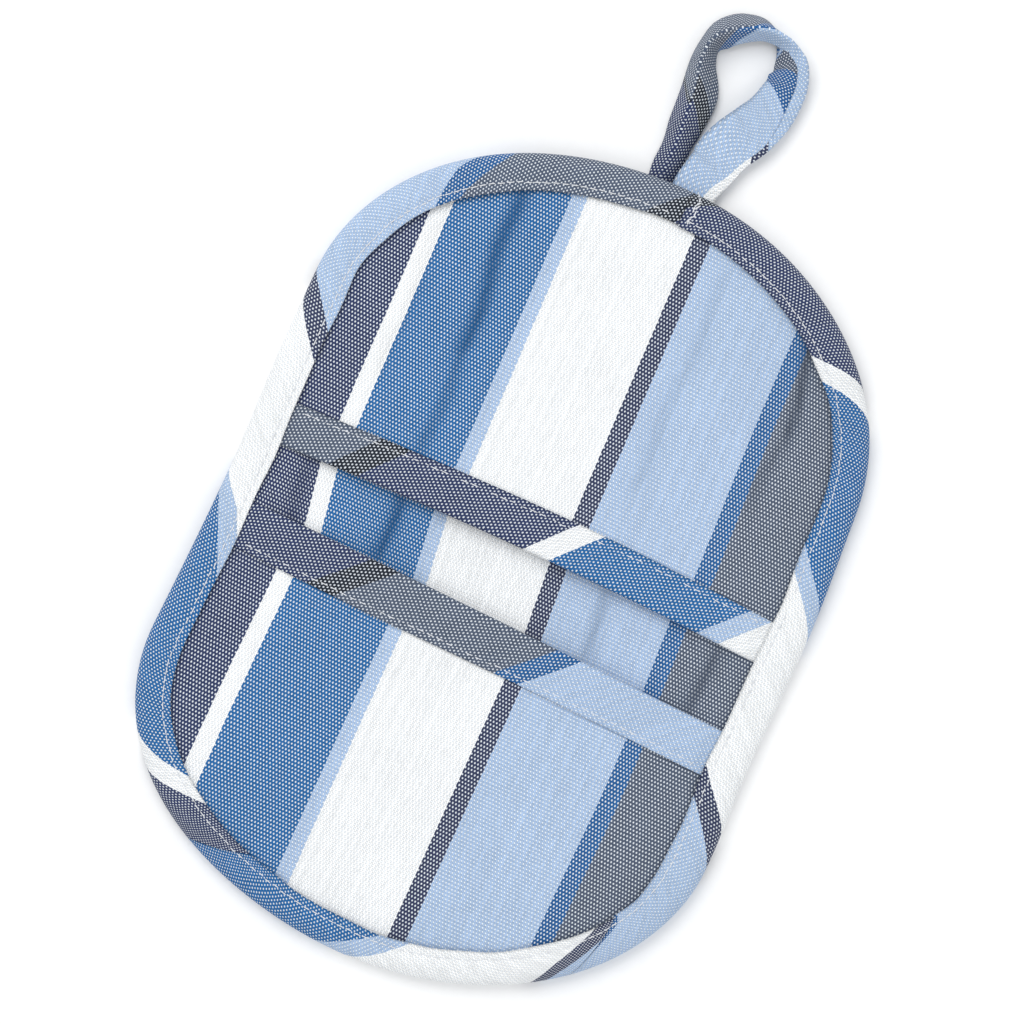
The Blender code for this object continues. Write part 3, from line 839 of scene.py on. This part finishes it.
def outlineAt(s):
    # the outline's point and outward direction at distance s
    def point(at):
        at = at % roundLength
        return np.interp(at, outlineS, outlineXy[:, 0]), np.interp(at, outlineS, outlineXy[:, 1])

    s = np.asarray(s) % roundLength
    (x, y), ahead, behind = point(s), point(s + 1.5 * mm), point(s - 1.5 * mm)
    tx, ty = ahead[0] - behind[0], ahead[1] - behind[1]
    length = np.hypot(tx, ty)
    return x, y, -ty / length, tx / length


def inwardsFrom(s, inset):
    # the point so far in from the rim at distance s round the edge, and the rim's own y there
    ox, oy, nx, ny = outlineAt(s)
    return ox - nx * inset, oy - ny * inset, oy


bindingShape = {
    "step": 1.6 * mm, "stitchInset": 2.3 * mm, "stitchLength": 2.4 * mm, "stitchGap": 0.55 * mm,
    "joins": (0.0, 272.1 * mm, 398.9 * mm), "underInset": 0.6 * mm,
    # how far the two lower joins slant: outer end later round the edge, inner end earlier
    "slants": ((272.1 * mm, 10.5 * mm), (398.9 * mm, 9.0 * mm)), "slantWidth": 11 * mm, "slantFade": 22 * mm,
    # visible width at distances round the edge
    "widthAt": np.array([0, 60, 130, 190, 235, 272, 330, 399, 470, 540, 600, 660, 711]) * mm,
    "width": np.array([11, 11.6, 11.4, 11.9, 12.3, 11.2, 9.8, 10.4, 11.2, 11.0, 11.2, 11.4, 11]) * mm,
}


def bindingWidth(s):
    # the visible width at distance s, straight lines between the table's places
    return np.interp(s % roundLength, bindingShape["widthAt"], bindingShape["width"])


def slanted(s, inset):
    # distance round the edge with each slanting join's shift, fading away from the join as a bell;
    # a negative inset is on the lower face, where the join runs on in the same direction
    lean = 1 - 2 * np.clip(inset / bindingShape["slantWidth"], -1, 1)
    return s + sum(amount * lean * bell(s - place, bindingShape["slantFade"])
                   for place, amount in bindingShape["slants"])


def bindingFace(s, inset):
    # the upper face at distance s round the edge, so far in from the rim
    x, y, rimY = inwardsFrom(s, inset)
    return np.stack([x, y, bindingHeight(inset, rimY + 0 * x)], axis=-1)


def bindingUnder(s, inset):
    # the lower face: a superellipse from the rim down to the floor
    x, y, rimY = inwardsFrom(s, inset)
    rim, low = thickness["rim"] + prop(rimY) * 0.9, prop(rimY) * 0.98
    t = np.clip(1 - inset / (4.5 * mm), 0, 1)
    z = rim - (rim - low) * (1 - t ** 2.2) ** (1 / 2.2)
    return np.stack([x + 0 * z, y + 0 * z, z], axis=-1)


stripes = {
    # place across the cloth against distance round the edge, at the tape's inner edge, and the bias's direction
    "Right": ([0, 60, 252, 262, 290], [4, 33, 134.6, 150.5, 165], 1.0),
    "Bottom": ([262, 285, 330, 401], [111.3, 101.6, 76.5, 44.6], -1.0),
    "Left": ([397, 424, 434, 487, 500, 514, 561.5, 572, 582, 640, 655, 713],
             [27, 40.3, 45, 69, 73.7, 78.4, 108.2, 114, 119.5, 154, 160, 196], 1.0),
}


def buildBinding(name, first, last, nodes, stripeName, seed):
    # the upper face from its inner edge out to the rim, then the lower face in again
    count = int((last - first) / bindingShape["step"])
    s = np.linspace(first, last, count)[:, None]
    width = bindingWidth(s) + 0.25 * mm * wander(seed, 26 * mm, s)
    insets = width * np.linspace(1, 0, 20)[None, :] ** 1.3
    topS = slanted(s, insets)
    top = bindingFace(topS, insets)
    underInsets = (width - bindingShape["underInset"]) * np.linspace(0, 1, 16)[None, 1:] ** 1.2
    underS = slanted(s, -0.3 * underInsets)
    stitchLine = bell(insets - width + bindingShape["stitchInset"], 0.9 * mm)
    pucker = 1 + 0.6 * np.sin(topS * 2 * math.pi / (2.95 * mm))
    ripple = 0.13 * mm * wander(seed + 1, 8 * mm, topS + insets * 0.8, insets * 0.3)
    top[..., 2] += ripple * smooth(0.3 * mm, 4 * mm, insets) - 0.3 * mm * stitchLine * pucker
    # the folded-in edge stands a little proud of the stitching
    top[..., 2] += 0.15 * mm * bell(insets - width, 0.7 * mm)
    middle = np.concatenate([top, bindingUnder(underS, underInsets)], axis=1)
    outwards = runningLength(middle)
    wholeS, way = np.concatenate([topS, underS], axis=1), stripes[stripeName][2]
    start = tabled(wholeS, stripes[stripeName])
    uv = biasUv(wholeS, -way * outwards, start - way * outwards / math.sqrt(2))
    # the tape's middle lies half its thickness in from the outer face
    normal = gridNormals(middle)
    middle = middle - normal * np.sign(normal[:, 5, 2].mean()) * thickness["tape"] / 2
    tape = tapeShell(name, middle, uv, thickness["tape"], tapeCotton)
    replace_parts(tape, *nodes)
    return tape


joins, joinGap = bindingShape["joins"], 0.1 * mm
bindingRight = buildBinding("bindingRight", joins[0] + joinGap, joins[1] - joinGap,
                            ["binding_right_upper", "binding_right_fold", "binding_right_lower"], "Right", 51)
bindingBottomTape = buildBinding("bindingBottom", joins[1] + joinGap, joins[2] - joinGap, ["binding_bottom"],
                                 "Bottom", 53)
bindingLeft = buildBinding("bindingLeft", joins[2] + joinGap, roundLength - joinGap,
                           ["binding_left_upper", "binding_left_fold", "binding_left_lower"], "Left", 55)
print("tapes made")


threadThick = 0.34 * mm


def stitchRun(name, centres, tangents, normals, length, thick, nodes):
    # one small capsule per stitch: radius * sqrt(1 - t^4) along it, lying on the tape
    sides = 6
    around = np.linspace(0, 2 * math.pi, sides, endpoint=False)
    t = np.array([-0.97, -0.55, 0.0, 0.55, 0.97])
    radius = (thick / 2 * np.sqrt(1 - t ** 4))[:, None]
    sag = 0.25 * thick * (np.abs(t)[:, None] ** 3)
    local = np.stack([np.repeat(t[:, None] * length / 2, sides, 1), radius * np.cos(around)[None, :],
                      radius * np.sin(around)[None, :] - sag], axis=-1).reshape(-1, 3)
    basis = np.stack([tangents, np.cross(normals, tangents), normals], axis=1)
    points = centres[:, None, :] + np.einsum("pk,mkc->mpc", local, basis)
    # four rings of six faces, then two faces over each end
    ring, k = (v.ravel() for v in np.meshgrid(np.arange(4) * sides, np.arange(sides), indexing="ij"))
    after = (k + 1) % sides
    quads = np.stack([ring + k, ring + after, ring + sides + after, ring + sides + k], axis=1)
    quads = np.concatenate([quads, [[0, 3, 2, 1], [0, 5, 4, 3], [24, 25, 26, 27], [24, 27, 28, 29]]])
    uv = np.stack([local[:, 0], np.tile(around, len(t)) * thick / 2], axis=-1)
    allQuads = (quads[None] + (np.arange(len(centres)) * len(local))[:, None, None]).reshape(-1, 4)
    corners = np.tile(uv[quads].reshape(-1, 4, 2), (len(centres), 1, 1))
    run = makeMesh(name, handMade(points.reshape(-1, 3)), allQuads, corners, threadCotton)
    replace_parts(run, *nodes)
    return run


def tapeStitches(place, first, last, look):
    # stitch centres, directions and upward normals along a line on a surface given by place(s, offset)
    length = look["stitchLength"]
    centres = np.arange(first + length, last - length, length + look["stitchGap"])
    jitter = 0.12 * mm * np.random.default_rng(7).normal(size=len(centres))
    ahead, behind = place(centres + length / 2, jitter), place(centres - length / 2, jitter)
    tangent = unit(ahead - behind)
    aside = place(centres, jitter + 0.5 * mm) - place(centres, jitter - 0.5 * mm)
    normal = unit(np.cross(tangent, aside))
    return place(centres, jitter), tangent, normal * np.sign(normal[:, 2:3])


def edgeStitchPlace(s, offset):
    # the stitching's line on the binding's upper face, sunk into it
    point = bindingFace(s, bindingWidth(s) - bindingShape["stitchInset"] + offset)
    point[..., 2] -= 0.22 * mm
    return point


def edgeUnderPlace(s, offset):
    # the same line on the lower face
    inset = bindingWidth(s) - bindingShape["underInset"] - bindingShape["stitchInset"] + offset
    point = bindingUnder(s, inset)
    point[..., 2] += 0.1 * mm
    return point


def buildEdgeStitches():
    # both lines run right round, 1 mm short of the join beside the loop
    top, under = (tapeStitches(place, 1 * mm, roundLength - 1 * mm, bindingShape)
                  for place in (edgeStitchPlace, edgeUnderPlace))
    rows = [np.concatenate(pair) for pair in zip(top, (under[0], under[1], -under[2]))]
    return stitchRun("edgeStitches", *rows, bindingShape["stitchLength"], threadThick,
                     ["edge_stitching_upper", "edge_stitching_lower", "edge_stitching_left_fold",
                      "edge_stitching_right_fold"])


def buildBandStitches(side):
    def place(x, offset):
        point = bandTop(side, x, bandWidth(side, x) - bandShape["stitchInset"] + offset)
        point[..., 2] -= 0.02 * mm
        return point

    reach = halfWidth - bandShape["stitchReach"]
    run = stitchRun(f"{side}BandStitches", *tapeStitches(place, -reach, reach, bandShape),
                    bandShape["stitchLength"], threadThick, [f"{side}_pocket_stitching"])
    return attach(run, f"{side}_half")


edgeStitches = buildEdgeStitches()
bandStitches = {side: buildBandStitches(side) for side in ("upper", "lower")}
print("stitches made")


# the loop: a bias strip folded in half, its fold carried along a path, two flaps hanging from it
loopShape = {
    "thick": 1.1 * mm, "steps": 260, "across": 12,
    # fold's place: x, y beyond the oval's end, height; then the turn of the inner and the outer flap,
    # in degrees from straight outwards over the top, and each flap's width
    "route": [
        (-7.3, -6.0, 1.2, 190, -8, 4.0, 4.0),
        (-7.3, 0.7, 2.6, 205, -25, 4.2, 4.2),
        (-7.3, 9.5, 6.4, 225, -55, 7.0, 7.5),
        (-8.0, 18.2, 9.0, 226, -62, 10.0, 10.5),
        (-9.0, 27.0, 9.8, 222, -66, 10.8, 11.0),
        (-10.9, 35.7, 10.2, 236, -72, 10.5, 11.0),
        (-10.5, 42.0, 10.4, 246, -72, 10.3, 11.2),
        (-7.6, 46.4, 10.8, 240, -62, 9.8, 11.8),
        (-2.0, 49.8, 11.2, 244, -60, 9.0, 12.2),
        (4.4, 52.0, 11.0, 246, -74, 8.2, 12.0),
        (11.7, 51.8, 9.2, 225, -128, 5.0, 11.8),
        (17.5, 48.6, 7.0, 188, -152, 3.4, 12.0),
        (20.9, 42.3, 5.0, 165, -170, 3.6, 12.3),
        (21.7, 35.0, 4.1, 160, -178, 3.9, 13.6),
        (20.9, 27.0, 3.9, 160, -183, 3.3, 15.2),
        (18.2, 19.7, 3.9, 160, -185, 2.0, 16.0),
        (14.3, 13.1, 3.8, 160, -185, 1.8, 15.8),
        (12.5, 6.9, 3.5, 165, -184, 2.8, 15.2),
        (10.2, 0.7, 3.2, 170, -181, 3.8, 13.8),
        (10.0, -6.0, 2.9, 174, -180, 3.8, 12.5),
    ],
    # place across the cloth against distance along the fold plus so much of the reach from it, for each flap
    "inner": ([0, 32, 40, 59, 65, 115, 121, 150], [212, 193.8, 187.1, 152.6, 147.5, 112.8, 107.6, 92]),
    "outer": ([0, 30, 31.5, 64, 70, 74, 76, 91, 106, 160],
              [212, 194.2, 186.8, 152.6, 147.5, 146, 172, 152.6, 147.5, 118]),
}


def smoothCurve(values, count):
    # Catmull-Rom through the rows of values, evenly spaced in their own number
    values = np.asarray(values, float)
    padded = np.concatenate([2 * values[:1] - values[1:2], values, 2 * values[-1:] - values[-2:-1]])
    t = np.linspace(0, len(values) - 1 - 1e-9, count)
    k = t.astype(int)
    f = (t - k)[:, None]
    p0, p1, p2, p3 = padded[k], padded[k + 1], padded[k + 2], padded[k + 3]
    return 0.5 * (2 * p1 + (p2 - p0) * f + (2 * p0 - 5 * p1 + 4 * p2 - p3) * f ** 2
                  + (3 * p1 - p0 - 3 * p2 + p3) * f ** 3)


def buildLoop():
    route = smoothCurve(loopShape["route"], loopShape["steps"])
    ridge = np.stack([route[:, 0] * mm, bindingTop + route[:, 1] * mm, route[:, 2] * mm], axis=-1)
    flat = unit(unit(np.gradient(ridge, axis=0)) * [1, 1, 0])
    outwards = np.stack([-flat[:, 1], flat[:, 0], np.zeros(len(flat))], axis=-1)
    up = np.array([0, 0, 1.0])

    def flap(turn, width, shares, curl):
        # points along a flap: a straight line from the fold that curls slightly towards its free edge
        turn = np.radians(turn)[:, None] + curl * shares[None, :]
        reach = width[:, None] * mm * shares[None, :]
        return (ridge[:, None] + (reach * np.cos(turn))[..., None] * outwards[:, None]
                + (reach * np.sin(turn))[..., None] * up), reach

    shares = np.linspace(0, 1, loopShape["across"])
    inner, innerReach = flap(route[:, 3], route[:, 5], shares, 0.10)
    outer, outerReach = flap(route[:, 4], route[:, 6], shares, -0.08)
    middle = np.concatenate([inner[:, :0:-1], outer], axis=1)
    # soften the fold's crest, then keep the tape off the floor
    for _ in range(3):
        middle[:, 1:-1] = 0.25 * middle[:, :-2] + 0.5 * middle[:, 1:-1] + 0.25 * middle[:, 2:]
    middle[..., 2] = np.maximum(middle[..., 2], loopShape["thick"] / 2 + 0.1 * mm)
    # the crest's row is doubled, so that each flap has its own stripes up to it
    crest = len(shares) - 1
    extra = 0.9 * middle[:, crest:crest + 1] + 0.1 * middle[:, crest - 1:crest]
    middle = np.concatenate([middle[:, :crest], extra, middle[:, crest:]], axis=1)
    across = np.concatenate([-innerReach[:, ::-1], outerReach], axis=1)
    along = runningLength(ridge)[:, None]
    # the outer flap's stripes lean back on the left side and forwards on the right
    lag = -0.8 + 1.9 * smooth(72 * mm, 80 * mm, along)
    stripe = np.concatenate([tabled(along + innerReach[:, ::-1], loopShape["inner"]),
                             tabled(along + lag * outerReach, loopShape["outer"])], axis=1)
    uv = biasUv(along + 0 * across, across, stripe)
    tape = tapeShell("hangingLoop", middle, uv, loopShape["thick"], loopCotton)
    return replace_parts(tape, "hanging_loop", "loop_end_left", "loop_end_right")


hangingLoop = buildLoop()


tackShape = {
    "x": 5.8 * mm, "length": 2.6 * mm, "thick": 0.45 * mm,
    "heights": [8.4, 9.8, 10.5, 10.9, 11.1, 11.2, 11.2, 11.1, 11.0],      # of each stitch over the floor, in mm
}


def buildTack():
    # a few long stitches through the binding that hold the loop's ends
    rows = len(tackShape["heights"])
    x = tackShape["x"] + rng.normal(size=rows) * 0.35 * mm
    y = bindingTop - np.linspace(1.2, 9.3, rows) * mm
    centres = np.stack([x, y, np.array(tackShape["heights"]) * mm], axis=-1)
    tangents = np.stack([np.full(rows, 0.25), np.full(rows, 1.0), np.zeros(rows)], axis=-1)
    tangents[:, 0] += rng.normal(size=rows) * 0.5
    normals = np.tile([0.0, 0.0, 1.0], (rows, 1))
    run = stitchRun("loopTack", centres, unit(tangents), normals, tackShape["length"], tackShape["thick"],
                    ["loop_tack"])
    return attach(run, "upper_half")


loopTack = buildTack()
print("loop made")


for piece in (pad, bindingRight, bindingLeft, edgeStitches):
    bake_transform(piece)
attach(bindingBottomTape, "lower_half")
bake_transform(hangingLoop)
# each pocket's cloth and lining are looked up, with a depth and an area that nothing here uses
for side, depth, area in (("upper", 0.1145, 0.01757), ("lower", 0.1072, 0.01630)):
    cloth, lining = pockets[side]

floor, floorMesh = meshObject("floor", [(-3, -3, 0), (3, -3, 0), (3, 3, 0), (-3, 3, 0)], [(0, 1, 2, 3)])
floorFinish, floorTree, floorShader = startFinish("paleFloor")
speckle = addNode(floorTree, "TexNoise", Vector=addNode(floorTree, "TexCoord").outputs["Object"],
                  Scale=400.0, Detail=3.0)
tint = addNode(floorTree, "ValToRGB", Fac=speckle.outputs["Fac"])
for step, shade in zip(tint.color_ramp.elements, (0.93, 0.96)):
    step.color = (shade, shade, shade, 1)
feed(floorTree, floorShader.inputs["Base Color"], tint.outputs[0])
floorShader.inputs["Roughness"].default_value = 0.9
floorShader.inputs["Specular IOR Level"].default_value = 0.1
floorMesh.materials.append(floorFinish)

studio = {
    "world": 0.77,
    "lamps": [
        # place, aim, size, power
        ("key", (-0.60, 0.50, 1.05), 1.0, 8.0),
        ("fill", (0.75, -0.45, 1.0), 1.2, 2.5),
    ],
    "lens": 120.0, "frameWidth": 0.2987, "look": (-0.0063, 0.01975), "turn": 24.5, "above": 0.006,
}
scene = bpy.context.scene
world = bpy.data.worlds.new("studio")
world.use_nodes = True
world.node_tree.nodes["Background"].inputs["Color"].default_value = (0.97, 0.985, 1.0, 1)
world.node_tree.nodes["Background"].inputs["Strength"].default_value = studio["world"]
scene.world = world
for name, spot, size, power in studio["lamps"]:
    lamp = bpy.data.lights.new(name, "AREA")
    lamp.shape, lamp.size, lamp.energy = "DISK", size, power
    holder = bpy.data.objects.new(name, lamp)
    holder.location = spot
    away = np.array(spot) / np.linalg.norm(spot)
    holder.rotation_euler = (math.acos(away[2]), 0, math.atan2(away[0], -away[1]))
    scene.collection.objects.link(holder)
cameraData = bpy.data.cameras.new("camera")
cameraData.lens = studio["lens"]
cameraData.sensor_width = sensor = 36.0
camera = bpy.data.objects.new("camera", cameraData)
camera.location = (*studio["look"], studio["above"] + studio["frameWidth"] * studio["lens"] / sensor)
camera.rotation_euler = (0, 0, math.radians(studio["turn"]))
scene.collection.objects.link(camera)
scene.camera = camera
scene.view_settings.view_transform = "Standard"

print("scene ready")
